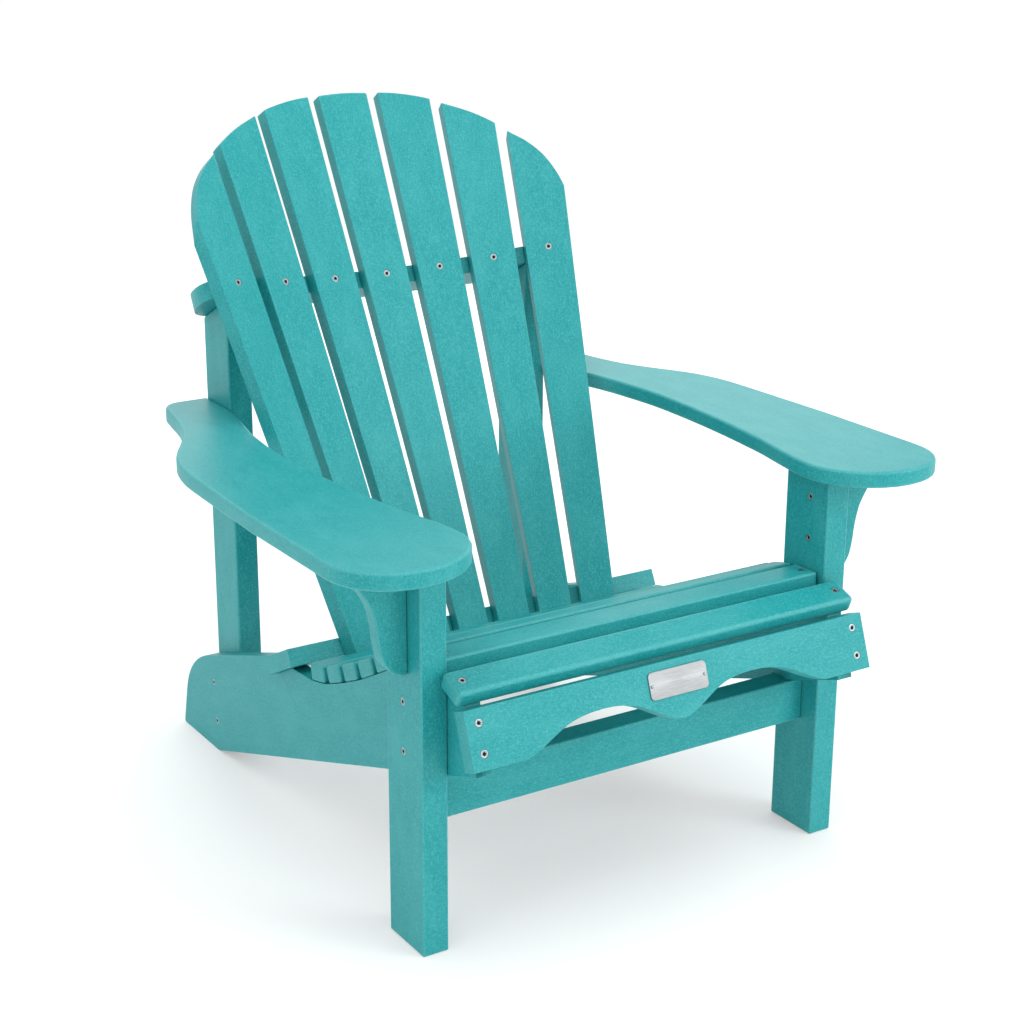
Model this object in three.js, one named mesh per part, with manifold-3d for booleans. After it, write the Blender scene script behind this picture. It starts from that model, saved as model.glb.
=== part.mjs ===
// Adirondack garden chair in poly lumber: a fixed, screwed frame with a fanned, curved slat back.
// Millimetres. +X is the sitter's left seen from the front, +Y runs from front to back, +Z is up.
// Inside the chair group, Y is measured from the front face of the front legs and Z from the ground.

import * as THREE from 'three';
import { mergeVertices } from 'three/addons/utils/BufferGeometryUtils.js';
import Module from 'manifold-3d';

const wasm = await Module();
wasm.setup();

// ---------------------------------------------------------------- driving dimensions
const BOARD = 24; // thickness of the wide boards and slats
const GAP = 0.3; // clearance left where two boards meet
const RECLINE = THREE.MathUtils.degToRad(27.5); // back from upright
const APRON_TILT = THREE.MathUtils.degToRad(19.9);

const LEG_INNER = 302; // half the distance between the front legs
const LEG_THICK = 38;
const LEG_DEPTH = 88;
const ARM_UNDERSIDE = 539;
const ARM_THICK = 23;
const BRACKET_FRONT = 31;
const BRACKET_THICK = 22;

const STRINGER_OUTER = LEG_INNER - GAP;
const STRINGER_INNER = STRINGER_OUTER - BOARD;
const POST_OUTER = STRINGER_INNER - GAP;
const POST_THICK = 37;
const POST_FRONT = 671;
const POST_REAR = 752;
const POST_FOOT = 32;

const STRETCHER_FRONT = 32;
const STRETCHER_BOTTOM = 171;
const STRETCHER_HEIGHT = 63;

const SEAT_SLAT_WIDTH = 39.5;
const SEAT_SLAT_GAP = 11;
const FRONT_SLAT_WIDTH = 46;
const SEAT_SLAT_THICK = 25;
const NARROW_SLATS = 7;

const NOSING = { frontY: -50, topZ: 379.5, width: 44, halfLength: 315, tilt: THREE.MathUtils.degToRad(20) };
const APRON = { bottomY: -87.5, bottomZ: 289.8, height: 76.6, halfLength: 316.6 };
const PLATE = { width: 92, height: 36, radius: 6, thick: 1.4, rise: 48.5 };

const RAIL_THICK = 26;
const RAIL_HALF_LENGTH = 318;
const UPPER_RAIL_HALF_LENGTH = 311;
const UPPER_HUB = new THREE.Vector3(0, 688.1, 733.6); // front of the middle slat at the upper rail
const LOWER_HUB = new THREE.Vector3(0, 438, 251.8); // and at the lower rail
const UPPER_RADIUS = 762; // front faces of the slats curve round these radii
const LOWER_RADIUS = 525;
const UPPER_STEP = THREE.MathUtils.degToRad(6.83); // angle from one slat to the next
const LOWER_STEP = THREE.MathUtils.degToRad(7.52);
const SLATS_EACH_SIDE = 3;
const SLAT_HALF_WIDTH_LOW = 26;
const SLAT_HALF_WIDTH_HIGH = 36.5;
const SLAT_THICK = 23;
const SLAT_FOOT = 22; // how far a slat runs below the middle of the lower rail
// Half of the arch that tops the back, from its crown out to the shoulder: across, and above the upper rail.
const ARCH = [[0, 291], [62, 287], [100, 280.5], [138, 269.5], [170, 255], [204, 237], [234, 215.5], [256, 194],
  [277, 174], [296, 147], [309, 113], [316, 76], [321, 35], [323, -20]];

const SCREW = {
  headRadius: 5.6, headHeight: 3.4, shankRadius: 2.3, socketRadius: 2.6, socketDepth: 1.8, sink: 0.35,
};
const SCREW_SEGMENTS = 12;
// Where the screws stand: across, up the apron's face, back from the legs' front, and above ground.
const FRONT_SCREW_X = 298;
const SEAT_SCREW_X = 288;
const APRON_SCREW_RISES = [['upper', 58.6], ['lower', 20.2]];
const LEG_SCREW_Y = 47;
const LEG_SCREW_HEIGHTS = [['upper', 340], ['lower', 272]];
const POST_SCREW_PLACES = [['upper', 720, 113], ['lower', 714, 50]];
const BRACKET_SCREW_HEIGHTS = [['upper', 503], ['lower', 443]];

const SIDES = [['left', -1], ['right', 1]];
const DEPTH_CENTRE = 377.5; // Y of the middle of the chair, so that the origin stands under its centre

// ---------------------------------------------------------------- solids
const X = new THREE.Vector3(1, 0, 0);
const Y = new THREE.Vector3(0, 1, 0);
const Z = new THREE.Vector3(0, 0, 1);
const BACK_UP = new THREE.Vector3(0, Math.sin(RECLINE), Math.cos(RECLINE)); // up along the back
const BACK_REAR = new THREE.Vector3(0, Math.cos(RECLINE), -Math.sin(RECLINE)); // square out of its rear
const APRON_UP = new THREE.Vector3(0, Math.sin(APRON_TILT), Math.cos(APRON_TILT));
const APRON_FRONT = new THREE.Vector3(0, -Math.cos(APRON_TILT), Math.sin(APRON_TILT));

const solids = {};

function toSolid(geometry) {
  geometry.deleteAttribute('normal');
  geometry.deleteAttribute('uv');
  const merged = mergeVertices(geometry, 1e-4);
  const vertProperties = new Float32Array(merged.attributes.position.array);
  const triVerts = new Uint32Array(merged.index.array);
  return new wasm.Manifold(new wasm.Mesh({ numProp: 3, vertProperties, triVerts }));
}

function toGeometry(solid) {
  const { vertProperties, triVerts } = solid.getMesh();
  const geometry = new THREE.BufferGeometry();
  geometry.setAttribute('position', new THREE.BufferAttribute(vertProperties, 3));
  geometry.setIndex(new THREE.BufferAttribute(triVerts, 1));
  geometry.computeVertexNormals();
  return geometry;
}

// A placement that carries the outline's u and v axes to the given directions.
function placement(origin, uAxis, vAxis) {
  const normal = new THREE.Vector3().crossVectors(uAxis, vAxis);
  return new THREE.Matrix4().makeBasis(uAxis, vAxis, normal).setPosition(origin);
}

// A board cut from a flat outline, thickened along the normal of its placement.
function board(outline, thickness, place, curveSegments = 12) {
  const options = { depth: thickness, bevelEnabled: false, curveSegments };
  const geometry = new THREE.ExtrudeGeometry(outline, options);
  geometry.applyMatrix4(place);
  return toSolid(geometry);
}

// A straight piece between two corners.
function block(low, high) {
  const size = new THREE.Vector3().subVectors(high, low);
  const geometry = new THREE.BoxGeometry(size.x, size.y, size.z);
  geometry.translate((low.x + high.x) / 2, (low.y + high.y) / 2, (low.z + high.z) / 2);
  return toSolid(geometry);
}

function outlineOf(points) {
  return new THREE.Shape(points.map(([u, v]) => new THREE.Vector2(u, v)));
}

// A board that stands in a fore-and-aft plane, from its inner face outwards on one side.
function sideBoard(outline, side, inner, outer) {
  const low = side > 0 ? inner : -outer;
  return board(outline, outer - inner, placement(new THREE.Vector3(low, 0, 0), Y, Z));
}

// ---------------------------------------------------------------- screws
// Outline of a countersunk screw, lathed round its axis. The head's top lies at height 0.
function screwGeometry(length, ease) {
  const head = SCREW.headRadius + ease;
  const shank = SCREW.shankRadius + ease;
  const top = ease > 0 ? BOARD : 0; // a clearance cutter runs on out of the board
  const profile = [
    [0, -length - ease],
    [shank, -length - ease],
    [shank, -SCREW.headHeight - ease],
    [head, -1 - ease],
    [head, top],
    [0, top],
  ];
  const geometry = new THREE.LatheGeometry(profile.map(([r, h]) => new THREE.Vector2(r, h)), SCREW_SEGMENTS);
  geometry.rotateX(Math.PI / 2);
  return geometry;
}

// Turns +Z to the outward direction of a face and moves to the sunk head's place.
function screwPlacement(point, outward) {
  const turn = new THREE.Quaternion().setFromUnitVectors(Z, outward);
  const seat = point.clone().addScaledVector(outward, -SCREW.sink);
  return new THREE.Matrix4().compose(seat, turn, new THREE.Vector3(1, 1, 1));
}

// Drives a screw at a point on a face, and drills each board that it passes through.
function drive(name, point, outward, length, boards) {
  const place = screwPlacement(point, outward);
  const body = screwGeometry(length, 0);
  const socket = new THREE.CylinderGeometry(SCREW.socketRadius, SCREW.socketRadius, SCREW.socketDepth * 2, 6);
  socket.rotateX(Math.PI / 2);
  body.applyMatrix4(place);
  socket.applyMatrix4(place);
  solids[name] = toSolid(body).subtract(toSolid(socket));
  const hole = screwGeometry(length, GAP);
  hole.applyMatrix4(place);
  const cutter = toSolid(hole);
  for (const drilled of boards) {
    solids[drilled] = solids[drilled].subtract(cutter);
  }
}

// ---------------------------------------------------------------- seat layout
// The top of the seat in (Y, Z), from behind the nosing down to the foot of the back.
const seatCurve = new THREE.SplineCurve([
  new THREE.Vector2(11, 401),
  new THREE.Vector2(60, 399),
  new THREE.Vector2(110, 386),
  new THREE.Vector2(160, 361),
  new THREE.Vector2(250, 313),
  new THREE.Vector2(345, 273),
  new THREE.Vector2(392, 264),
]);

// Each slat's two top corners lie on the seat curve; its underside is square below them.
function seatSlatCorners() {
  const length = seatCurve.getLength();
  const widths = [FRONT_SLAT_WIDTH, ...Array(NARROW_SLATS).fill(SEAT_SLAT_WIDTH)];
  const corners = [];
  let reach = 0;
  for (const width of widths) {
    const front = seatCurve.getPointAt(Math.min(reach / length, 1));
    const rear = seatCurve.getPointAt(Math.min((reach + width) / length, 1));
    const along = rear.clone().sub(front).normalize();
    const down = new THREE.Vector2(along.y, -along.x);
    corners.push({ front, rear, down });
    reach += width + SEAT_SLAT_GAP;
  }
  return corners;
}

const seatSlats = seatSlatCorners();
const nosingAlong = new THREE.Vector2(Math.cos(NOSING.tilt), Math.sin(NOSING.tilt));
const nosingDown = new THREE.Vector2(Math.sin(NOSING.tilt), -Math.cos(NOSING.tilt));
const nosingFront = new THREE.Vector2(NOSING.frontY, NOSING.topZ);
const nosingRear = nosingFront.clone().addScaledVector(nosingAlong, NOSING.width);

function slatSection(front, rear, down, thickness) {
  const frontLow = front.clone().addScaledVector(down, thickness);
  const rearLow = rear.clone().addScaledVector(down, thickness);
  return new THREE.Shape([front, rear, rearLow, frontLow]);
}

function crossBoard(outline, halfLength) {
  return board(outline, 2 * halfLength, placement(new THREE.Vector3(-halfLength, 0, 0), Y, Z));
}

function makeSeat() {
  const nosingSection = slatSection(nosingFront, nosingRear, nosingDown, BOARD);
  solids.nosing_slat = crossBoard(nosingSection, NOSING.halfLength);
  seatSlats.forEach(({ front, rear, down }, index) => {
    const halfLength = index === 0 ? LEG_INNER - 2.5 : STRINGER_OUTER;
    const section = slatSection(front, rear, down, SEAT_SLAT_THICK);
    solids[`seat_slat_${index + 1}`] = crossBoard(section, halfLength);
  });
}

// ---------------------------------------------------------------- stringers
// A point at a given height on the plane of the apron's back, a clearance behind it.
function apronBack(z) {
  const foot = new THREE.Vector3(0, APRON.bottomY, APRON.bottomZ).addScaledVector(APRON_FRONT, -BOARD - GAP);
  return [foot.y + (z - foot.z) * Math.tan(APRON_TILT), z];
}

// A point of the lower rail's section: rear of its hub and up across its thickness.
function lowerRailPoint(rear, up) {
  const point = LOWER_HUB.clone().addScaledVector(BACK_REAR, rear).addScaledVector(BACK_UP, up);
  return [point.y, point.z];
}

const LOWER_RAIL = { front: -27.5, rear: 61.5 };

function stringerOutline() {
  const bottomSlope = 0.349;
  const footFront = 711;
  const footRear = 838;
  const frontBottom = 272;
  const shape = new THREE.Shape();
  shape.moveTo(footFront, 0);
  shape.lineTo(footRear, 0);
  shape.quadraticCurveTo(footRear + 5, 0, footRear + 4, 6);
  shape.lineTo(827, 66);
  shape.quadraticCurveTo(812, 124, 738, 152);
  const railTopRear = lowerRailPoint(LOWER_RAIL.rear + GAP, RAIL_THICK / 2);
  const railLowRear = lowerRailPoint(LOWER_RAIL.rear + GAP, -RAIL_THICK / 2 - GAP);
  const railLowFront = lowerRailPoint(6, -RAIL_THICK / 2 - GAP);
  shape.lineTo(...railTopRear);
  shape.lineTo(...railLowRear);
  shape.lineTo(...railLowFront);
  for (const { front, rear, down } of [...seatSlats].reverse()) {
    const rearLow = rear.clone().addScaledVector(down, SEAT_SLAT_THICK + GAP);
    const frontLow = front.clone().addScaledVector(down, SEAT_SLAT_THICK + GAP);
    shape.lineTo(rearLow.x, rearLow.y);
    shape.lineTo(frontLow.x, frontLow.y);
  }
  const nosingRearLow = nosingRear.clone().addScaledVector(nosingDown, BOARD + GAP);
  shape.lineTo(nosingRearLow.x, nosingRearLow.y);
  const shoulder = nosingFront.clone().addScaledVector(nosingDown, BOARD + GAP).addScaledVector(nosingAlong, 4);
  shape.lineTo(shoulder.x, shoulder.y);
  shape.lineTo(...apronBack(shoulder.y - 2));
  shape.lineTo(...apronBack(frontBottom));
  shape.lineTo(STRETCHER_FRONT - GAP, (footFront - STRETCHER_FRONT) * bottomSlope);
  return shape;
}

function makeStringers() {
  const outline = stringerOutline();
  const notch = block(
    new THREE.Vector3(-LEG_INNER, STRETCHER_FRONT - GAP, STRETCHER_BOTTOM),
    new THREE.Vector3(LEG_INNER, STRETCHER_FRONT + LEG_THICK + GAP, STRETCHER_BOTTOM + STRETCHER_HEIGHT + GAP),
  );
  for (const [suffix, side] of SIDES) {
    const blank = sideBoard(outline, side, STRINGER_INNER, STRINGER_OUTER);
    solids[`stringer_${suffix}`] = blank.subtract(notch);
  }
}

// ---------------------------------------------------------------- legs, posts, stretcher, apron
function ordered(side, inner, outer) {
  return side > 0 ? [inner, outer] : [-outer, -inner];
}

function makeLegs() {
  for (const [suffix, side] of SIDES) {
    const [low, high] = ordered(side, LEG_INNER, LEG_INNER + LEG_THICK);
    solids[`front_leg_${suffix}`] = block(
      new THREE.Vector3(low, 0, 0),
      new THREE.Vector3(high, LEG_DEPTH, ARM_UNDERSIDE - GAP),
    );
  }
  solids.front_stretcher = block(
    new THREE.Vector3(-STRINGER_OUTER, STRETCHER_FRONT, STRETCHER_BOTTOM),
    new THREE.Vector3(STRINGER_OUTER, STRETCHER_FRONT + LEG_THICK, STRETCHER_BOTTOM + STRETCHER_HEIGHT),
  );
}

// The top of a post is cut square to the back, under the upper rail.
function makePosts() {
  const underRail = UPPER_HUB.clone().addScaledVector(BACK_UP, -RAIL_THICK / 2 - GAP);
  const topAt = (y) => underRail.z - (y - underRail.y) * Math.tan(RECLINE);
  const outline = outlineOf([
    [POST_FRONT, POST_FOOT],
    [POST_REAR, POST_FOOT],
    [POST_REAR, topAt(POST_REAR)],
    [POST_FRONT, topAt(POST_FRONT)],
  ]);
  for (const [suffix, side] of SIDES) {
    solids[`rear_post_${suffix}`] = sideBoard(outline, side, POST_OUTER - POST_THICK, POST_OUTER);
  }
}

// The apron's lower edge has two scallops that meet in a point at the middle.
function makeApron() {
  const { halfLength, height } = APRON;
  const shape = new THREE.Shape();
  shape.moveTo(-halfLength, 0);
  for (const side of [-1, 1]) {
    const near = side < 0 ? 238 : 8;
    const far = side < 0 ? 8 : 238;
    const crown = 118;
    shape.lineTo(side * near, 0);
    shape.bezierCurveTo(side * (near + (crown - near) * 0.36), 13, side * (crown + (near - crown) * 0.55), 37,
      side * crown, 37);
    shape.bezierCurveTo(side * (crown + (far - crown) * 0.55), 37, side * (far + (crown - far) * 0.36), 13,
      side * far, 0);
  }
  shape.lineTo(halfLength, 0);
  shape.lineTo(halfLength, height);
  shape.lineTo(-halfLength, height);
  const origin = new THREE.Vector3(0, APRON.bottomY, APRON.bottomZ).addScaledVector(APRON_FRONT, -BOARD);
  solids.apron = board(shape, BOARD, placement(origin, X, APRON_UP), 10);
}

// ---------------------------------------------------------------- arms and brackets
// Plan of an arm: narrow beside the post, wide over the seat, round at the front.
function armOutline(side) {
  const at = (x, y) => new THREE.Vector2(side * x, y);
  const inner = POST_OUTER + GAP;
  const shape = new THREE.Shape();
  shape.moveTo(side * inner, POST_REAR);
  shape.lineTo(side * 322, POST_REAR);
  shape.quadraticCurveTo(side * 350, POST_REAR, side * 357, 720);
  shape.splineThru([at(363, 688), at(368, 660), at(375, 629), at(387, 592), at(406, 554), at(428, 516),
    at(443, 485), at(453, 452), at(459, 415), at(461.5, 368)]);
  shape.lineTo(side * 467, 200);
  shape.lineTo(side * 466, 10);
  shape.bezierCurveTo(side * 467, -45, side * 432, -82, side * 375, -82);
  shape.bezierCurveTo(side * 322, -82, side * 273, -38, side * 272.5, 10);
  shape.splineThru([at(276, 50), at(284, 92), at(294, 142), at(301, 195), at(308, 258), at(314, 345),
    at(315, 430), at(306, 522), at(293, 588), at(282, 645), at(inner, 672)]);
  return shape;
}

// The bracket under an arm flares outwards in a long S from the leg.
function bracketOutline(side) {
  const foot = 382;
  const top = ARM_UNDERSIDE - GAP;
  const leg = LEG_INNER + LEG_THICK + GAP;
  const shape = new THREE.Shape();
  const at = (x, z) => new THREE.Vector2(side * x, z);
  shape.moveTo(side * leg, foot);
  shape.lineTo(side * (leg + 8), foot);
  shape.splineThru([at(364, 390), at(375, 406), at(380, 427), at(383, 451), at(390, 478), at(404, 502),
    at(426, top)]);
  shape.lineTo(side * leg, top);
  return shape;
}

function makeArms() {
  for (const [suffix, side] of SIDES) {
    const armPlace = placement(new THREE.Vector3(0, 0, ARM_UNDERSIDE), X, Y);
    solids[`arm_${suffix}`] = board(armOutline(side), ARM_THICK, armPlace, 8);
    const bracketPlace = placement(new THREE.Vector3(0, BRACKET_FRONT + BRACKET_THICK, 0), X, Z);
    solids[`arm_bracket_${suffix}`] = board(bracketOutline(side), BRACKET_THICK, bracketPlace, 4);
  }
}

// ---------------------------------------------------------------- back
// A point on one of the two arcs that the slats' front faces touch.
function arcPoint(hub, radius, angle, ease = 0) {
  const reach = radius + ease;
  return hub.clone()
    .addScaledVector(X, reach * Math.sin(angle))
    .addScaledVector(BACK_REAR, reach * Math.cos(angle) - radius);
}

// Placement of each slat: origin on its front face at the upper rail, u across, v up the slat.
function slatFrame(index) {
  const high = arcPoint(UPPER_HUB, UPPER_RADIUS, index * UPPER_STEP);
  const low = arcPoint(LOWER_HUB, LOWER_RADIUS, index * LOWER_STEP);
  const up = high.clone().sub(low).normalize();
  const turn = index * (UPPER_STEP + LOWER_STEP) / 2;
  const across = X.clone().multiplyScalar(Math.cos(turn)).addScaledVector(BACK_REAR, -Math.sin(turn));
  across.addScaledVector(up, -across.dot(up)).normalize();
  const front = new THREE.Vector3().crossVectors(across, up);
  return { high, low, up, across, front };
}

const slatFrames = [];
for (let index = -SLATS_EACH_SIDE; index <= SLATS_EACH_SIDE; index += 1) {
  slatFrames.push(slatFrame(index));
}

function taperedOutline(frame, widen, below, above) {
  const span = frame.high.distanceTo(frame.low);
  const taper = (SLAT_HALF_WIDTH_HIGH - SLAT_HALF_WIDTH_LOW) / span;
  const half = (v) => SLAT_HALF_WIDTH_HIGH + v * taper + widen;
  const bottom = -span - below;
  return outlineOf([[-half(bottom), bottom], [half(bottom), bottom], [half(above), above], [-half(above), above]]);
}

// The whole fan of slats is cut to one elliptical arch, square through the back.
function archSolid() {
  const crownToShoulder = ARCH.map(([u, v]) => new THREE.Vector2(u, v));
  const [shoulder, ...shoulderToCrown] = crownToShoulder.reverse();
  const mirrored = ARCH.slice(1).map(([u, v]) => new THREE.Vector2(-u, v));
  const depth = -800; // well below the slats' feet
  const reach = 200; // and well in front of and behind them
  const shape = new THREE.Shape();
  shape.moveTo(-shoulder.x, depth);
  shape.lineTo(shoulder.x, depth);
  shape.lineTo(shoulder.x, shoulder.y);
  shape.splineThru([...shoulderToCrown, ...mirrored]);
  const origin = UPPER_HUB.clone().addScaledVector(BACK_REAR, reach);
  return board(shape, 2 * reach, placement(origin, X, BACK_UP), 4);
}

function makeBackSlats() {
  const arch = archSolid();
  const above = ARCH[0][1] + 10;
  slatFrames.forEach((frame, index) => {
    const origin = frame.high.clone().addScaledVector(frame.front, -SLAT_THICK);
    const blank = board(taperedOutline(frame, 0, SLAT_FOOT, above), SLAT_THICK,
      placement(origin, frame.across, frame.up));
    solids[`back_slat_${index + 1}`] = blank.intersect(arch);
  });
}

// What a rail must leave free for the slats: a slab from just behind each slat forwards.
function slatClearance(frame) {
  const origin = frame.high.clone().addScaledVector(frame.front, -SLAT_THICK - GAP);
  return board(taperedOutline(frame, 1, SLAT_FOOT + 80, 80), 120, placement(origin, frame.across, frame.up));
}

// A rail lies square to the back; its outline is drawn in (X, rearwards).
function rail(outline, hub) {
  const origin = hub.clone().addScaledVector(BACK_UP, -RAIL_THICK / 2);
  let solid = board(outline, RAIL_THICK, placement(origin, X, BACK_REAR), 24);
  for (const frame of slatFrames) {
    solid = solid.subtract(slatClearance(frame));
  }
  return solid;
}

// Front edge of a rail: an arc round the slats' centre, from the left end of the scoop to the right.
function addScoop(shape, radius, slatRadius, from, steps = 18) {
  for (let step = 0; step <= steps; step += 1) {
    const angle = -from + (2 * from * step) / steps;
    shape.lineTo(radius * Math.sin(angle), radius * Math.cos(angle) - slatRadius);
  }
}

function makeRails() {
  const proud = 1; // the arc stands this much into the slats' room, and each slat then gets a flat
  const upper = new THREE.Shape();
  const upperRear = 80;
  const upperArc = UPPER_RADIUS + SLAT_THICK - proud;
  const upperTurn = 0.372;
  const endX = upperArc * Math.sin(upperTurn);
  const endRear = upperArc * Math.cos(upperTurn) - UPPER_RADIUS;
  const tip = UPPER_RAIL_HALF_LENGTH;
  upper.moveTo(-tip + 55, upperRear);
  upper.bezierCurveTo(-tip + 20, upperRear, -tip, 48, -tip, 10);
  upper.quadraticCurveTo(-tip, endRear + 6, -endX, endRear);
  addScoop(upper, upperArc, UPPER_RADIUS, upperTurn);
  upper.quadraticCurveTo(tip, endRear + 6, tip, 10);
  upper.bezierCurveTo(tip, 48, tip - 20, upperRear, tip - 55, upperRear);
  solids.upper_back_rail = rail(upper, UPPER_HUB);

  const lower = new THREE.Shape();
  lower.moveTo(-RAIL_HALF_LENGTH, LOWER_RAIL.rear);
  lower.lineTo(-RAIL_HALF_LENGTH, LOWER_RAIL.front);
  addScoop(lower, LOWER_RADIUS + SLAT_THICK - proud, LOWER_RADIUS, 0.435);
  lower.lineTo(RAIL_HALF_LENGTH, LOWER_RAIL.front);
  lower.lineTo(RAIL_HALF_LENGTH, LOWER_RAIL.rear);
  solids.lower_back_rail = rail(lower, LOWER_HUB);
}

// ---------------------------------------------------------------- name plate
function apronPoint(x, rise, out = 0) {
  return new THREE.Vector3(x, APRON.bottomY, APRON.bottomZ)
    .addScaledVector(APRON_UP, rise)
    .addScaledVector(APRON_FRONT, out);
}

function makePlate() {
  const { width, height, radius, thick, rise } = PLATE;
  const w = width / 2;
  const h = height / 2;
  const shape = new THREE.Shape();
  shape.moveTo(-w + radius, -h);
  shape.lineTo(w - radius, -h);
  shape.absarc(w - radius, -h + radius, radius, -Math.PI / 2, 0, false);
  shape.lineTo(w, h - radius);
  shape.absarc(w - radius, h - radius, radius, 0, Math.PI / 2, false);
  shape.lineTo(-w + radius, h);
  shape.absarc(-w + radius, h - radius, radius, Math.PI / 2, Math.PI, false);
  shape.lineTo(-w, -h + radius);
  shape.absarc(-w + radius, -h + radius, radius, Math.PI, 1.5 * Math.PI, false);
  solids.nameplate = board(shape, thick, placement(apronPoint(0, rise, GAP), X, APRON_UP), 5);
}

// A small domed rivet on each end of the plate, with its pin in the apron.
function makeRivet(name, x) {
  const profile = (ease) => [[0, -8 - ease], [1.2 + ease, -8 - ease], [1.2 + ease, 0], [2.4, 0], [2.2, 0.6],
    [1.2, 1.1], [0, 1.2]];
  const turn = new THREE.Quaternion().setFromUnitVectors(Z, APRON_FRONT);
  const seat = apronPoint(x, PLATE.rise, GAP + PLATE.thick + GAP);
  const place = new THREE.Matrix4().compose(seat, turn, new THREE.Vector3(1, 1, 1));
  const lathe = (points) => {
    const geometry = new THREE.LatheGeometry(points.map(([r, h]) => new THREE.Vector2(r, h)), SCREW_SEGMENTS);
    geometry.rotateX(Math.PI / 2);
    geometry.applyMatrix4(place);
    return toSolid(geometry);
  };
  solids[name] = lathe(profile(0));
  const cutter = lathe([[0, -8 - GAP], [1.2 + GAP, -8 - GAP], [1.2 + GAP, 4], [0, 4]]);
  for (const drilled of ['apron', 'nameplate']) {
    solids[drilled] = solids[drilled].subtract(cutter);
  }
}

// ---------------------------------------------------------------- fixings
function makeScrews() {
  slatFrames.forEach((frame, index) => {
    const boards = [`back_slat_${index + 1}`, 'upper_back_rail'];
    drive(`back_screw_${index + 1}`, frame.high, frame.front, 60, boards);
  });
  for (const [suffix, side] of SIDES) {
    const stringer = `stringer_${suffix}`;
    const leg = `front_leg_${suffix}`;
    const outward = X.clone().multiplyScalar(side);
    const inward = outward.clone().negate();
    const nearEnd = side * FRONT_SCREW_X;
    APRON_SCREW_RISES.forEach(([level, rise]) => {
      drive(`apron_screw_${level}_${suffix}`, apronPoint(nearEnd, rise), APRON_FRONT, 62, ['apron', stringer]);
    });
    const nosingNormal = new THREE.Vector3(0, -nosingDown.x, -nosingDown.y);
    const nosingPoint = nosingFront.clone().addScaledVector(nosingAlong, 23);
    const nosingSeat = new THREE.Vector3(nearEnd, nosingPoint.x, nosingPoint.y);
    drive(`nosing_screw_${suffix}`, nosingSeat, nosingNormal, 60, ['nosing_slat', stringer]);
    const [firstSlat] = seatSlats;
    const seatPoint = firstSlat.front.clone().lerp(firstSlat.rear, 0.45);
    const seatNormal = new THREE.Vector3(0, -firstSlat.down.x, -firstSlat.down.y);
    const seatSeat = new THREE.Vector3(side * SEAT_SCREW_X, seatPoint.x, seatPoint.y);
    drive(`seat_screw_${suffix}`, seatSeat, seatNormal, 50, ['seat_slat_1', stringer]);
    LEG_SCREW_HEIGHTS.forEach(([level, z]) => {
      const face = new THREE.Vector3(side * (LEG_INNER + LEG_THICK), LEG_SCREW_Y, z);
      drive(`leg_screw_${level}_${suffix}`, face, outward, 56, [leg, stringer]);
    });
    POST_SCREW_PLACES.forEach(([level, y, z]) => {
      const face = new THREE.Vector3(side * STRINGER_OUTER, y, z);
      drive(`post_screw_${level}_${suffix}`, face, outward, 52, [stringer, `rear_post_${suffix}`]);
    });
    BRACKET_SCREW_HEIGHTS.forEach(([level, z]) => {
      const face = new THREE.Vector3(side * LEG_INNER, BRACKET_FRONT + 6, z);
      drive(`bracket_screw_${level}_${suffix}`, face, inward, 62, [leg, `arm_bracket_${suffix}`]);
    });
  }
}

// ---------------------------------------------------------------- assembly
makeLegs();
makeStringers();
makePosts();
makeApron();
makeSeat();
makeArms();
makeBackSlats();
makeRails();
makePlate();
makeRivet('rivet_left', -PLATE.width / 2 + 4);
makeRivet('rivet_right', PLATE.width / 2 - 4);
makeScrews();

const finishes = [
  { match: /^(nameplate|rivet)/, color: 0xc9cbcc, roughness: 0.32, metalness: 1 },
  { match: /screw/, color: 0xb8bcbe, roughness: 0.28, metalness: 1 },
  { match: /./, color: 0x3fb1b3, roughness: 0.55, metalness: 0 },
];

const chair = new THREE.Group();
chair.position.y = -DEPTH_CENTRE;
for (const [name, solid] of Object.entries(solids)) {
  const { color, roughness, metalness } = finishes.find(({ match }) => match.test(name));
  const material = new THREE.MeshStandardMaterial({ color, roughness, metalness });
  const mesh = new THREE.Mesh(toGeometry(solid), material);
  mesh.name = name;
  chair.add(mesh);
}

const model = new THREE.Group();
model.add(chair);

export default model;
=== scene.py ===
# An adirondack garden chair in teal plastic lumber, on a pale studio floor.
# Every board is a rounded copy of its solid; the screws and the plate are finer pieces of their own.
import math

import bmesh
import bpy
import numpy as np
from mathutils import Matrix, Vector, noise


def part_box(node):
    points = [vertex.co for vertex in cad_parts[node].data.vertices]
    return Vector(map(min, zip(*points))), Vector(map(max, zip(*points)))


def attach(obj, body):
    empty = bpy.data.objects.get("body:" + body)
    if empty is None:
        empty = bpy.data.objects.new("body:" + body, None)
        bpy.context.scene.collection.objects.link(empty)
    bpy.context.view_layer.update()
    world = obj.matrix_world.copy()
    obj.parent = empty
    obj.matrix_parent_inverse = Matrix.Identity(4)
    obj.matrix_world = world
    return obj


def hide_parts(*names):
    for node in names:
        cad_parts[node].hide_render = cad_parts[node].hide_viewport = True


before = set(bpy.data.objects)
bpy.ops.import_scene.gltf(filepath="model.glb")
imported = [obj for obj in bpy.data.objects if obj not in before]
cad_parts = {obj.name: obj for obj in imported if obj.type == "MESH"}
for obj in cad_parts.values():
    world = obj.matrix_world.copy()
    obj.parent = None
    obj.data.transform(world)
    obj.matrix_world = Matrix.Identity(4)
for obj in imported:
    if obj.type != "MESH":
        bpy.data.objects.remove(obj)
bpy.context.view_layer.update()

MM = 0.001
X = Vector((1, 0, 0))
Y = Vector((0, 1, 0))
Z = Vector((0, 0, 1))

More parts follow.
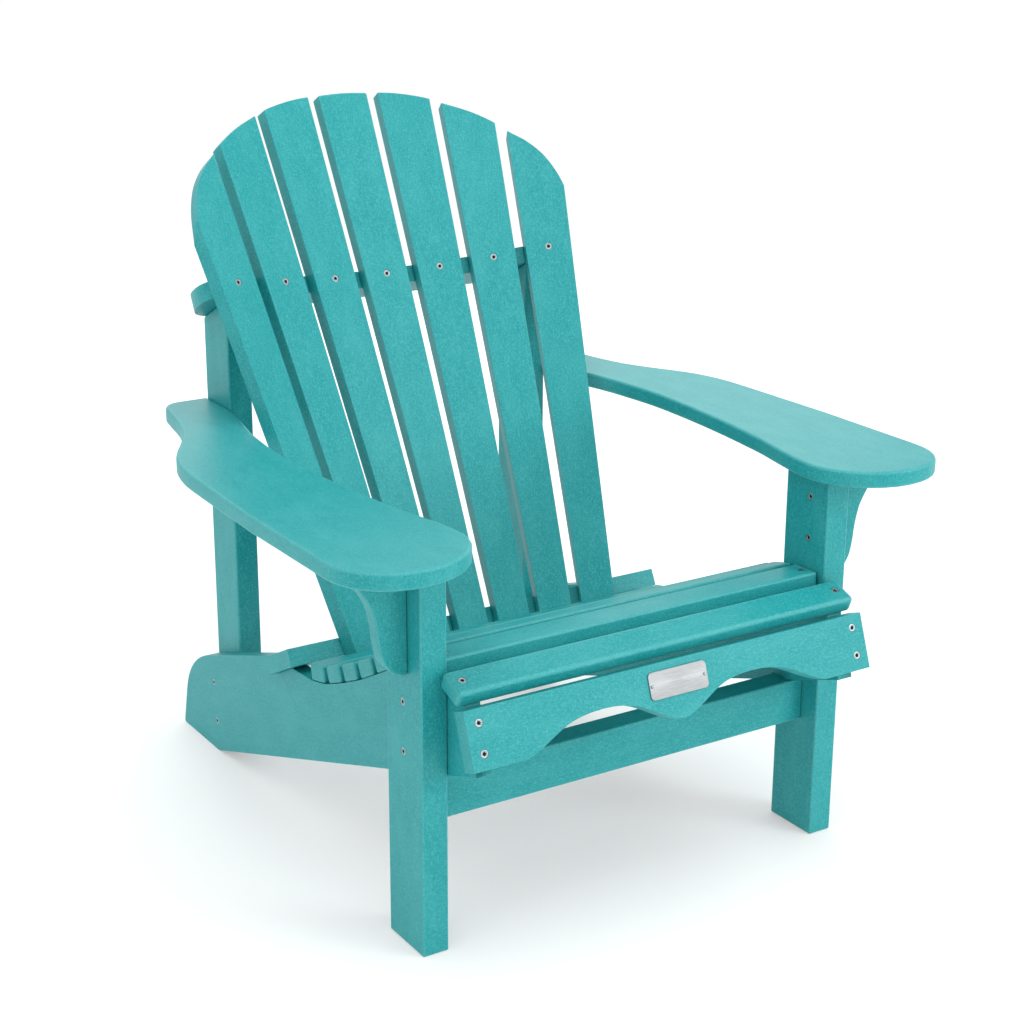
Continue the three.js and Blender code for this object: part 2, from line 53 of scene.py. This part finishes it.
# ------------------------------------------------------------------ colours
TEAL = "#1D9699"  # body colour of the lumber, dyed right through
TEAL_DEEP = "#0E8588"  # where the surface pits hold less light
TEAL_CHALK = "#48ADAF"  # slightly bloomed skin
TEAL_RUBBED_HIGHLIGHT = "#7CCBCC"  # arrises, partly rubbed paler and partly a painted highlight along them
STAINLESS = "#B4BCBD"
STAINLESS_DARK = "#79868A"
# Painted shade in the screw sockets: near-black steel standing for the shadow in the recess.
SOCKET_SHADE_DARK = "#121415"
SOCKET_SHADE_LIGHT = "#33383A"
BRUSHED_DARK = "#85888A"
BRUSHED_LIGHT = "#A9ACAD"


def linear(hex_colour):
    """An sRGB hex value as linear red, green and blue, with an alpha of 1."""
    channels = []
    for start in (1, 3, 5):
        c = int(hex_colour[start:start + 2], 16) / 255
        channels.append(c / 12.92 if c <= 0.04045 else ((c + 0.055) / 1.055) ** 2.4)
    return (*channels, 1.0)


def grey(level):
    """A linear grey, which may be brighter than 1 for a light."""
    return (level, level, level, 1.0)


# ------------------------------------------------------------------ materials
def add(tree, kind, values=None, links=None, **settings):
    """Adds a node, sets its properties and socket values, and links its inputs from other sockets."""
    node = tree.nodes.new(kind)
    for name, value in settings.items():
        setattr(node, name, value)
    for key, value in (values or {}).items():
        node.inputs[key].default_value = value
    for key, socket in (links or {}).items():
        tree.links.new(socket, node.inputs[key])
    return node


def new_material(name):
    material = bpy.data.materials.new(name)
    material.use_nodes = True
    tree = material.node_tree
    tree.nodes.clear()
    return material, tree


def finish_material(tree, shader):
    add(tree, "ShaderNodeOutputMaterial", links={"Surface": shader.outputs[0]})


def ramp(tree, factor, stops):
    """The colour of a ramp over (position, linear colour) stops."""
    node = add(tree, "ShaderNodeValToRGB", links={"Fac": factor})
    elements = node.color_ramp.elements
    while len(elements) < len(stops):
        elements.new(0.5)
    for element, (position, colour) in zip(elements, stops):
        element.position = position
        element.color = colour
    return node.outputs["Color"]


def make_board_material():
    """High-density polyethylene lumber, extruded and brushed to a wood-like skin, unvarnished.

    It is dyed right through, so there is one colour, mottled where the matt skin is pitted, with short
    fibres along each board and a soft satin reflection.
    """
    material, tree = new_material("brushed_hdpe_lumber_teal")
    place = add(tree, "ShaderNodeAttribute", attribute_name="board_place").outputs["Vector"]
    fibres_at = add(tree, "ShaderNodeMapping", {"Scale": (0.25, 1.0, 1.0)}, {"Vector": place})
    clouds_at = add(tree, "ShaderNodeMapping", {"Scale": (0.45, 1.0, 1.0)}, {"Vector": place})
    # A fibre is about 2 mm wide and 7 mm long, and a pit 2.5 mm across: coarser than life, so that they show.
    fibres = add(tree, "ShaderNodeTexNoise",
                 {"Scale": 560.0, "Detail": 3.0, "Roughness": 0.6, "Distortion": 0.6},
                 {"Vector": fibres_at.outputs[0]}).outputs["Fac"]
    pits = add(tree, "ShaderNodeTexNoise", {"Scale": 380.0, "Detail": 4.0, "Roughness": 0.62},
               {"Vector": place}).outputs["Fac"]
    # Patches of bloom are about 35 mm across and 75 mm long.
    clouds = add(tree, "ShaderNodeTexNoise", {"Scale": 30.0, "Detail": 4.0, "Roughness": 0.6},
                 {"Vector": clouds_at.outputs[0]}).outputs["Fac"]
    mottle = add(tree, "ShaderNodeMix", {"Factor": 0.36}, {"A": pits, "B": fibres},
                 data_type="FLOAT").outputs["Result"]
    skin = ramp(tree, mottle, [(0.32, linear(TEAL_DEEP)), (0.5, linear(TEAL)), (0.7, linear(TEAL_CHALK))])
    bloom = ramp(tree, clouds, [(0.42, grey(0.0)), (0.72, grey(1.0))])
    bloom_share = add(tree, "ShaderNodeMath", {1: 0.30}, {0: bloom}, operation="MULTIPLY")
    bloomed = add(tree, "ShaderNodeMix", {"B": linear(TEAL_CHALK)},
                  {"Factor": bloom_share.outputs[0], "A": skin}, data_type="RGBA")
    # Rounded arrises turn paler: partly rubbed wear, partly a painted highlight along the edges.
    wear_and_highlight = add(tree, "ShaderNodeAttribute", attribute_name="arris").outputs["Fac"]
    wear_and_highlight_share = add(tree, "ShaderNodeMath", {1: 0.15}, {0: wear_and_highlight}, operation="MULTIPLY")
    worn_and_highlit = add(tree, "ShaderNodeMix", {"B": linear(TEAL_RUBBED_HIGHLIGHT)},
               {"Factor": wear_and_highlight_share.outputs[0], "A": bloomed.outputs["Result"]}, data_type="RGBA")
    satin = add(tree, "ShaderNodeMapRange",
                {"From Min": 0.3, "From Max": 0.7, "To Min": 0.36, "To Max": 0.52}, {"Value": mottle})
    relief = add(tree, "ShaderNodeBump", {"Strength": 0.45, "Distance": 0.5 * MM}, {"Height": mottle})
    swell = add(tree, "ShaderNodeBump", {"Strength": 0.35, "Distance": 1.2 * MM},
                {"Height": clouds, "Normal": relief.outputs[0]})
    shader = add(tree, "ShaderNodeBsdfPrincipled", {"IOR": 1.5, "Specular IOR Level": 0.3},
                 {"Base Color": worn_and_highlit.outputs["Result"], "Roughness": satin.outputs[0],
                  "Normal": swell.outputs[0]})
    finish_material(tree, shader)
    return material


def make_screw_material():
    """Stainless steel, cold-headed and tumbled: grey and half bright, with fine scuffs about 1 mm apart."""
    material, tree = new_material("tumbled_stainless_screw")
    where = add(tree, "ShaderNodeTexCoord").outputs["Object"]
    scuffs = add(tree, "ShaderNodeTexNoise", {"Scale": 900.0, "Detail": 3.0},
                 {"Vector": where}).outputs["Fac"]
    tone = ramp(tree, scuffs, [(0.35, linear(STAINLESS_DARK)), (0.6, linear(STAINLESS))])
    gloss = add(tree, "ShaderNodeMapRange", {"To Min": 0.28, "To Max": 0.5}, {"Value": scuffs})
    shader = add(tree, "ShaderNodeBsdfPrincipled", {"Metallic": 1.0},
                 {"Base Color": tone, "Roughness": gloss.outputs[0]})
    finish_material(tree, shader)
    return material


def make_socket_shade_material():
    """The wall and floor of a driver socket: the same steel, dull and painted nearly black as painted shade
    for the recess.
    """
    material, tree = new_material("screw_socket_painted_shade")
    where = add(tree, "ShaderNodeTexCoord").outputs["Object"]
    shade_speckle = add(tree, "ShaderNodeTexNoise", {"Scale": 1400.0, "Detail": 2.0}, {"Vector": where})
    tone = ramp(tree, shade_speckle.outputs["Fac"], [(0.3, linear(SOCKET_SHADE_DARK)), (0.7, linear(SOCKET_SHADE_LIGHT))])
    shader = add(tree, "ShaderNodeBsdfPrincipled", {"Metallic": 0.8, "Roughness": 0.6}, {"Base Color": tone})
    finish_material(tree, shader)
    return material


def make_plate_material():
    """Stainless sheet, brushed along its length with a fine belt, so that highlights smear into streaks."""
    material, tree = new_material("belt_brushed_stainless_plate")
    where = add(tree, "ShaderNodeTexCoord").outputs["Object"]
    along = add(tree, "ShaderNodeMapping", {"Scale": (0.02, 1.0, 1.0)}, {"Vector": where})
    # Belt lines are a few hundredths of a millimetre apart; they are drawn 0.4 mm apart so that they show.
    lines = add(tree, "ShaderNodeTexNoise", {"Scale": 2600.0, "Detail": 3.0, "Roughness": 0.7},
                {"Vector": along.outputs[0]}).outputs["Fac"]
    tone = ramp(tree, lines, [(0.3, linear(BRUSHED_DARK)), (0.7, linear(BRUSHED_LIGHT))])
    gloss = add(tree, "ShaderNodeMapRange", {"To Min": 0.3, "To Max": 0.48}, {"Value": lines})
    scratches = add(tree, "ShaderNodeBump", {"Strength": 0.12, "Distance": 0.1 * MM}, {"Height": lines})
    shader = add(tree, "ShaderNodeBsdfPrincipled", {"Metallic": 1.0, "Anisotropic": 0.4},
                 {"Base Color": tone, "Roughness": gloss.outputs[0], "Normal": scratches.outputs[0]})
    finish_material(tree, shader)
    return material


def make_floor_material():
    """Seamless studio paper that glows a little, balanced so that teal light leaves its shadows grey."""
    material, tree = new_material("studio_paper_white")
    where = add(tree, "ShaderNodeTexCoord").outputs["Object"]
    tooth = add(tree, "ShaderNodeTexNoise", {"Scale": 3.0, "Detail": 2.0}, {"Vector": where})
    tone = ramp(tree, tooth.outputs["Fac"], [(0.0, (0.67, 0.79, 0.79, 1.0)), (1.0, (0.69, 0.81, 0.81, 1.0))])
    glow = {"Emission Color": (1.0, 0.68, 0.68, 1.0), "Emission Strength": 0.35}
    shader = add(tree, "ShaderNodeBsdfPrincipled", {"Roughness": 0.9, "Specular IOR Level": 0.1, **glow},
                 {"Base Color": tone})
    finish_material(tree, shader)
    return material


lumber = make_board_material()
screw_steel = make_screw_material()
socket_painted_shade = make_socket_shade_material()
plate_steel = make_plate_material()

# ------------------------------------------------------------------ making a piece
WELD = 0.02 * MM
FLAT = math.radians(0.6)
FIXING_CLEARANCE = 0.7 * MM
FIXING_BOXES = [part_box(name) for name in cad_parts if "screw" in name or name.startswith("rivet")]


def near_fixing(point):
    """Whether a point is on the rim of a hole that a screw or a rivet fills."""
    return any(all(low[i] - FIXING_CLEARANCE <= point[i] <= high[i] + FIXING_CLEARANCE for i in range(3))
               for low, high in FIXING_BOXES)


def merged_copy(node):
    """A bmesh of a frame solid, with its loose triangles joined into whole flat faces."""
    bm = bmesh.new()
    bm.from_mesh(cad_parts[node].data)
    bmesh.ops.remove_doubles(bm, verts=bm.verts, dist=WELD)
    bmesh.ops.dissolve_limit(bm, angle_limit=FLAT, verts=bm.verts, edges=bm.edges)
    return bm


def round_arrises(bm, radius, sharp, segments):
    """Rounds the sharp edges, but not the rims of the holes, and returns the new faces."""
    arrises = []
    for edge in bm.edges:
        middle = (edge.verts[0].co + edge.verts[1].co) / 2
        if len(edge.link_faces) == 2 and edge.calc_face_angle(0) >= sharp and not near_fixing(middle):
            arrises.append(edge)
    rounded = bmesh.ops.bevel(bm, geom=arrises, offset=radius, offset_type="OFFSET", affect="EDGES",
                              segments=segments, profile=0.5, material=-1, clamp_overlap=True)
    return set(rounded["faces"])


def finish_piece(name, bm, node, materials):
    """Makes a smooth-shaded object of a bmesh, in place of a node of the frame."""
    for face in bm.faces:
        face.smooth = True
    mesh = bpy.data.meshes.new(name)
    bm.to_mesh(mesh)
    bm.free()
    for material in materials:
        mesh.materials.append(material)
    piece = bpy.data.objects.new(name, mesh)
    bpy.context.scene.collection.objects.link(piece)
    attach(piece, "root")
    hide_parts(node)
    return piece


def shade_flats_evenly(piece, weight):
    """Keeps the flats flat and lets only the rounded edges turn the light."""
    weighted = piece.modifiers.new("even shading", "WEIGHTED_NORMAL")
    weighted.mode = "FACE_AREA"
    weighted.weight = weight


# ------------------------------------------------------------------ boards
ALONG_STRINGER = Vector((0, 0.943, -0.333))
BOARD_SHARP = math.radians(32)
# Start of the node's name, radius of its arrises, and the way its grain runs, or None for its longest way.
BOARD_FINISH = [
    ("seat_slat", 3.5 * MM, X),
    ("nosing_slat", 6.0 * MM, X),
    ("apron", 3.0 * MM, X),
    ("front_stretcher", 3.0 * MM, X),
    ("upper_back_rail", 2.5 * MM, X),
    ("lower_back_rail", 2.5 * MM, X),
    ("arm_bracket", 2.5 * MM, Z),
    ("arm_", 4.0 * MM, Y),
    ("front_leg", 3.0 * MM, Z),
    ("rear_post", 3.0 * MM, Z),
    ("stringer", 2.5 * MM, ALONG_STRINGER),
    ("back_slat", 3.0 * MM, None),
]
GRAIN_SHIFT = 3  # each board's grain is cut from its own place in a block 3 m wide


def long_axes(vertices):
    """Unit vectors along and across the longest direction of a set of vertices."""
    points = np.array([tuple(v.co) for v in vertices])
    spread = np.cov((points - points.mean(axis=0)).T)
    _, vectors = np.linalg.eigh(spread)
    return Vector(vectors[:, 2]).normalized(), Vector(vectors[:, 1]).normalized()


def mark_wear_and_highlight(bm, rounded_faces):
    """Marks with 1 the corners that only rounded faces share: there the board is rubbed paler and a highlight
    is painted along the edge.
    """
    wear_and_highlight = bm.verts.layers.float.new("arris")
    for vert in bm.verts:
        vert[wear_and_highlight] = 1.0 if all(face in rounded_faces for face in vert.link_faces) else 0.0


def lay_grain(mesh, direction, across):
    """Stores each corner's place along, across and through its board, from a random start."""
    through = direction.cross(across)
    shift = Vector((noise.random(), noise.random(), noise.random())) * GRAIN_SHIFT
    place = mesh.attributes.new("board_place", "FLOAT_VECTOR", "POINT")
    for vertex, item in zip(mesh.vertices, place.data):
        co = vertex.co
        item.vector = Vector((co.dot(direction), co.dot(across), co.dot(through))) + shift


def rounded_board(name, radius, grain):
    bm = merged_copy(name)
    longest, second = long_axes(bm.verts)
    direction = grain.normalized() if grain else longest
    across = (second - direction * second.dot(direction)).normalized()
    mark_wear_and_highlight(bm, round_arrises(bm, radius, BOARD_SHARP, segments=4))
    piece = finish_piece(name + "_rounded", bm, name, [lumber])
    lay_grain(piece.data, direction, across)
    shade_flats_evenly(piece, 80)


noise.seed_set(7)
for node_name in sorted(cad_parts):
    finish = next((row for row in BOARD_FINISH if node_name.startswith(row[0])), None)
    if finish and "screw" not in node_name:
        rounded_board(node_name, finish[1], finish[2])

# ------------------------------------------------------------------ screws
# Half section of a head in millimetres, out from the axis and up to its top: stub, cone, rim and flat top.
HEAD_SECTION = [(0.0, -5.0), (2.1, -5.0), (2.1, -3.0), (5.4, -0.9), (5.55, -0.45), (5.4, -0.1), (5.0, 0.0),
                (3.1, 0.0)]
HEAD_STEPS = 32
LOBES = 6
LOBE_MEAN = 2.35 * MM  # the socket's wall waves in and out of this radius
LOBE_SWING = 0.45 * MM
SOCKET_RIM = 0.25 * MM  # depth of the socket's eased rim
SOCKET_FLOOR = 1.9 * MM


def spin_section(bm):
    points = [bm.verts.new((r * MM, 0, h * MM)) for r, h in HEAD_SECTION]
    edges = [bm.edges.new(pair) for pair in zip(points, points[1:])]
    bmesh.ops.spin(bm, geom=points + edges, cent=(0, 0, 0), axis=(0, 0, 1), dvec=(0, 0, 0),
                   angle=math.tau, steps=HEAD_STEPS, use_merge=True, use_duplicate=False)
    bmesh.ops.remove_doubles(bm, verts=bm.verts, dist=0.001 * MM)


def extrude_rim(bm, rim):
    """Extrudes a loop of edges and returns the new loop and its corners."""
    new = bmesh.ops.extrude_edge_only(bm, edges=rim)["geom"]
    loop = [item for item in new if isinstance(item, bmesh.types.BMEdge)]
    corners = [item for item in new if isinstance(item, bmesh.types.BMVert)]
    return loop, corners


def sink_socket(bm):
    """Leads the open middle of the head down through a six-lobed rim to a flat floor."""
    rim = [edge for edge in bm.edges if edge.is_boundary and all(abs(v.co.z) < 0.01 * MM for v in edge.verts)]
    wall, corners = extrude_rim(bm, rim)
    for vert in corners:
        turn = math.atan2(vert.co.y, vert.co.x)
        reach = LOBE_MEAN + LOBE_SWING * math.cos(LOBES * turn)
        vert.co = Vector((math.cos(turn) * reach, math.sin(turn) * reach, -SOCKET_RIM))
    _, corners = extrude_rim(bm, wall)
    for vert in corners:
        vert.co.z = -SOCKET_FLOOR
    bmesh.ops.edgeloop_fill(bm, edges=[edge for edge in bm.edges if edge.is_boundary])


def screw_head(node):
    """A flat-head screw with a six-lobed driver socket, standing where the frame's screw does."""
    seat, outward = head_seat(node)
    bm = bmesh.new()
    spin_section(bm)
    sink_socket(bm)
    bmesh.ops.recalc_face_normals(bm, faces=bm.faces)
    for face in bm.faces:
        low = min(v.co.z for v in face.verts)
        high = max(v.co.z for v in face.verts)
        reach = max(v.co.xy.length for v in face.verts)
        in_socket = high < -0.2 * MM and low > -4.9 * MM and reach < 2.9 * MM
        # Faces inside the socket take the painted shade of the recess.
        face.material_index = 1 if in_socket else 0
    turn = Z.rotation_difference(outward).to_matrix().to_4x4()
    bmesh.ops.transform(bm, matrix=Matrix.Translation(seat) @ turn, verts=bm.verts)
    finish_piece(node + "_head", bm, node, [screw_steel, socket_painted_shade])


def head_seat(node):
    """Top of a frame screw's head and the way it faces: the head is the end that is widest."""
    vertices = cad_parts[node].data.vertices
    points = [v.co.copy() for v in vertices]
    along, _ = long_axes(vertices)
    centre = sum(points, Vector()) / len(points)
    widest = max(points, key=lambda p: ((p - centre) - along * (p - centre).dot(along)).length)
    outward = along if (widest - centre).dot(along) > 0 else -along
    top = max((p - centre).dot(outward) for p in points)
    end = [p for p in points if (p - centre).dot(outward) > top - 0.3 * MM]
    return sum(end, Vector()) / len(end), outward


for node_name in sorted(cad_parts):
    if "screw" in node_name:
        screw_head(node_name)

# ------------------------------------------------------------------ plate and rivets
PLATE_SHARP = math.radians(40)
PLATE_ROUNDING = 0.9 * MM

plate = merged_copy("nameplate")
round_arrises(plate, PLATE_ROUNDING, PLATE_SHARP, segments=3)
plate_piece = finish_piece("nameplate_sheet", plate, "nameplate", [plate_steel])
shade_flats_evenly(plate_piece, 50)

for node_name in ("rivet_left", "rivet_right"):
    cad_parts[node_name].data.materials.clear()
    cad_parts[node_name].data.materials.append(screw_steel)

# ------------------------------------------------------------------ studio
FLOOR_REACH = 40  # metres from the middle to the floor's edge
SKY_STRENGTH = 0.87
# Upward component of the direction, and brightness: pale at the horizon, softer above, brightest overhead.
SKY = [(0.0, 1.25), (0.12, 0.8), (0.8, 1.2)]
# Name, place, the point that it faces, size, and power in watts.
SOFTBOXES = [
    ("overhead_softbox", (-0.3, -0.9, 3.4), (0.0, 0.0, 0.3), (2.6, 2.6), 30),
    ("front_right_softbox", (2.6, -3.6, 2.0), (0.0, 0.0, 0.5), (2.0, 1.6), 62),
    ("left_softbox", (-3.4, -1.0, 1.8), (0.0, 0.0, 0.5), (1.6, 1.6), 6),
    ("back_softbox", (1.6, 3.4, 2.1), (0.0, 0.0, 0.5), (4.0, 1.6), 36),
]
CAMERA_PLACE = (-1.461, -2.3475, 1.353)
CAMERA_TURN = -32.434  # degrees round the vertical
CAMERA_DIP = 18.329  # degrees below level
CAMERA_ROLL = 0.276
CAMERA_LENS = 70.64  # millimetres, on a sensor 36 mm wide


def make_floor():
    mesh = bpy.data.meshes.new("studio_floor")
    bm = bmesh.new()
    bmesh.ops.create_grid(bm, x_segments=1, y_segments=1, size=FLOOR_REACH)
    bm.to_mesh(mesh)
    bm.free()
    mesh.materials.append(make_floor_material())
    floor = bpy.data.objects.new("studio_floor", mesh)
    bpy.context.scene.collection.objects.link(floor)


def make_softbox(name, place, aim, size, power):
    data = bpy.data.lights.new(name, "AREA")
    data.shape = "RECTANGLE"
    data.size, data.size_y = size
    data.energy = power
    lamp = bpy.data.objects.new(name, data)
    lamp.location = place
    lamp.rotation_euler = (Vector(aim) - Vector(place)).to_track_quat("-Z", "Y").to_euler()
    bpy.context.scene.collection.objects.link(lamp)


def make_world():
    world = bpy.data.worlds.new("studio")
    world.use_nodes = True
    tree = world.node_tree
    direction = add(tree, "ShaderNodeTexCoord").outputs["Generated"]
    upward = add(tree, "ShaderNodeSeparateXYZ", links={"Vector": direction}).outputs["Z"]
    background = tree.nodes["Background"]
    background.inputs["Strength"].default_value = SKY_STRENGTH
    tree.links.new(ramp(tree, upward, [(height, grey(level)) for height, level in SKY]),
                   background.inputs["Color"])
    bpy.context.scene.world = world


def make_camera():
    data = bpy.data.cameras.new("camera")
    data.lens = CAMERA_LENS
    data.sensor_width = 36.0
    data.clip_end = 200
    camera = bpy.data.objects.new("camera", data)
    turn = (Matrix.Rotation(math.radians(CAMERA_TURN), 4, "Z")
            @ Matrix.Rotation(math.radians(90 - CAMERA_DIP), 4, "X")
            @ Matrix.Rotation(math.radians(CAMERA_ROLL), 4, "Z"))
    camera.matrix_world = Matrix.Translation(CAMERA_PLACE) @ turn
    bpy.context.scene.collection.objects.link(camera)
    bpy.context.scene.camera = camera


make_floor()
make_world()
for softbox in SOFTBOXES:
    make_softbox(*softbox)
make_camera()
bpy.context.scene.view_settings.view_transform = "Standard"
bpy.context.scene.view_settings.look = "None"
